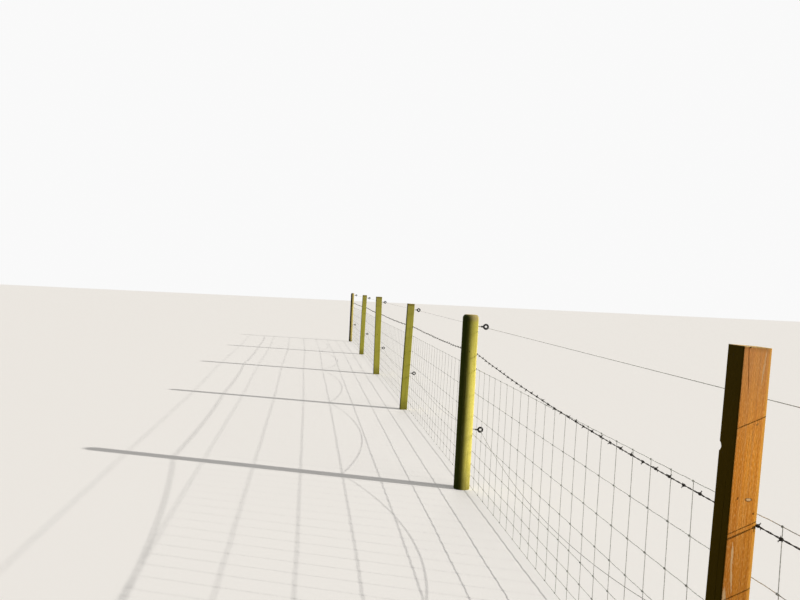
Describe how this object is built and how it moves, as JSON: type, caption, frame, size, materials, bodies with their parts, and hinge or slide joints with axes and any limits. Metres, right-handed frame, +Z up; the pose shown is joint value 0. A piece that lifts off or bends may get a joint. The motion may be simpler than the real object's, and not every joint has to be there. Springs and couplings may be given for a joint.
{
  "type": "post and wire stock fence",
  "caption": "Run of wooden posts with stock netting, a barbed strand and electric wires on ring insulators.",
  "frame": {"origin": "centre of the middle post's foot, at ground level", "axes": "+Y along the run, +X towards the field side that carries the wires, +Z up"},
  "size_m": [0.2343, 20.79, 1.247],
  "materials": {
    "brown_timber": "sawn, brown treated",
    "treated_timber": "pressure treated, weathered",
    "dark_timber": "sawn, dark treated",
    "black_plastic": "moulded",
    "galvanised_wire": "galvanised, dulled",
    "barbed_wire": "galvanised, weathered dark",
    "electric_wire": "galvanised"
  },
  "bodies": {
    "root": {"post_1": "treated_timber", "post_2": "brown_timber", "post_3": "treated_timber", "post_4": "treated_timber", "post_5": "treated_timber", "post_6": "treated_timber", "post_7": "dark_timber", "top_insulator_1": "black_plastic", "top_insulator_3": "black_plastic", "top_insulator_4": "black_plastic", "top_insulator_5": "black_plastic", "top_insulator_6": "black_plastic", "top_insulator_7": "black_plastic", "lower_insulator_1": "black_plastic", "lower_insulator_2": "black_plastic", "lower_insulator_3": "black_plastic", "lower_insulator_4": "black_plastic", "lower_insulator_5": "black_plastic", "lower_insulator_6": "black_plastic", "lower_insulator_7": "black_plastic", "netting_bay_1": "galvanised_wire", "netting_bay_2": "galvanised_wire", "netting_bay_3": "galvanised_wire", "netting_bay_4": "galvanised_wire", "netting_bay_5": "galvanised_wire", "netting_bay_6": "galvanised_wire", "barbed_wire_bay_1": "barbed_wire", "barbed_wire_bay_2": "barbed_wire", "barbed_wire_bay_3": "barbed_wire", "barbed_wire_bay_4": "barbed_wire", "barbed_wire_bay_5": "barbed_wire", "barbed_wire_bay_6": "barbed_wire", "lower_wire_bay_1": "electric_wire", "lower_wire_bay_2": "electric_wire", "lower_wire_bay_3": "electric_wire", "lower_wire_bay_4": "electric_wire", "lower_wire_bay_5": "electric_wire", "lower_wire_bay_6": "electric_wire", "top_wire": "electric_wire"}
  },
  "joints": []
}
